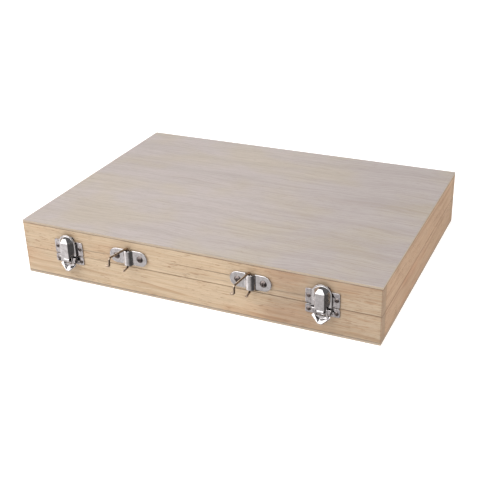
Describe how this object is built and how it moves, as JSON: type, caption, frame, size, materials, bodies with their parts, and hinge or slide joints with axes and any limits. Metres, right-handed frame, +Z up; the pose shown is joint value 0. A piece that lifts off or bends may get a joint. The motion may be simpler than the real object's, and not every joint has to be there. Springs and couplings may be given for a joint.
{
  "type": "art supply box",
  "caption": "Shallow hinged wooden case with plywood panels, pine rails, draw latches on the front, wire handle loops and a divided tray.",
  "frame": {"origin": "centre of the underside of the tray", "axes": "+X to the right seen from the latch side, +Y towards the hinges at the back, +Z up; the latches face -Y"},
  "size_m": [0.39, 0.3233, 0.061],
  "materials": {
    "plywood": "bare veneer, matt",
    "pine": "bare planed pine, matt",
    "divider_wood": "bare planed pine, matt",
    "nickel": "polished nickel plate",
    "loop_wire": "nickel-plated wire",
    "screw_steel": "plated steel, slightly dulled",
    "hinge_steel": "plated steel"
  },
  "bodies": {
    "tray": {"tray_front_rail": "pine", "tray_back_rail": "pine", "tray_left_rail": "pine", "tray_right_rail": "pine", "tray_bottom_panel": "plywood", "divider_long": "divider_wood", "divider_left": "divider_wood", "divider_right": "divider_wood", "left_latch_base": "nickel", "left_latch_base_screws": "screw_steel", "left_lever_pin": "hinge_steel", "left_hinge_tray_leaf": "hinge_steel", "left_hinge_pin": "hinge_steel", "left_hinge_tray_screws": "screw_steel", "right_latch_base": "nickel", "right_latch_base_screws": "screw_steel", "right_lever_pin": "hinge_steel", "right_hinge_tray_leaf": "hinge_steel", "right_hinge_pin": "hinge_steel", "right_hinge_tray_screws": "screw_steel"},
    "lid": {"lid_front_rail": "pine", "lid_back_rail": "pine", "lid_left_rail": "pine", "lid_right_rail": "pine", "lid_top_panel": "plywood", "left_keeper": "nickel", "left_keeper_screws": "screw_steel", "left_handle_plate": "nickel", "left_handle_screws": "screw_steel", "left_hinge_lid_leaf": "hinge_steel", "left_hinge_lid_screws": "screw_steel", "right_keeper": "nickel", "right_keeper_screws": "screw_steel", "right_handle_plate": "nickel", "right_handle_screws": "screw_steel", "right_hinge_lid_leaf": "hinge_steel", "right_hinge_lid_screws": "screw_steel"},
    "left_lever": {"left_latch_lever": "nickel", "left_link_pin": "hinge_steel"},
    "left_link": {"left_latch_link": "nickel"},
    "left_loop": {"left_handle_loop": "loop_wire"},
    "right_lever": {"right_latch_lever": "nickel", "right_link_pin": "hinge_steel"},
    "right_link": {"right_latch_link": "nickel"},
    "right_loop": {"right_handle_loop": "loop_wire"}
  },
  "joints": [
    {"name": "lid_hinge", "type": "hinge", "parent": "tray", "child": "lid", "pos_m": [0, 0.1451, 0.0305], "axis": [-1, 0, 0], "range_deg": [0, 180]},
    {"name": "left_lever_hinge", "type": "hinge", "parent": "tray", "child": "left_lever", "pos_m": [-0.139, -0.1467, 0.0285], "axis": [-1, 0, 0], "range_deg": [0, 88]},
    {"name": "left_link_hinge", "type": "hinge", "parent": "left_lever", "child": "left_link", "pos_m": [-0.139, -0.1459, 0.0243], "axis": [-1, 0, 0], "range_deg": [-97, 0]},
    {"name": "right_lever_hinge", "type": "hinge", "parent": "tray", "child": "right_lever", "pos_m": [0.139, -0.1467, 0.0285], "axis": [-1, 0, 0], "range_deg": [0, 88]},
    {"name": "right_link_hinge", "type": "hinge", "parent": "right_lever", "child": "right_link", "pos_m": [0.139, -0.1459, 0.0243], "axis": [-1, 0, 0], "range_deg": [-97, 0]},
    {"name": "left_loop_swivel", "type": "hinge", "parent": "lid", "child": "left_loop", "pos_m": [-0.067, -0.1448, 0.0416], "axis": [0.0076, 0.0868, 0.9962], "range_deg": [-70, 70]},
    {"name": "right_loop_swivel", "type": "hinge", "parent": "lid", "child": "right_loop", "pos_m": [0.067, -0.1448, 0.0416], "axis": [0.0015, 0.0174, 0.9998], "range_deg": [-70, 70]}
  ],
  "couplings": [
    {"joint": "left_link_hinge", "follows": "left_lever_hinge", "ratio": -1.1},
    {"joint": "right_link_hinge", "follows": "right_lever_hinge", "ratio": -1.1}
  ]
}
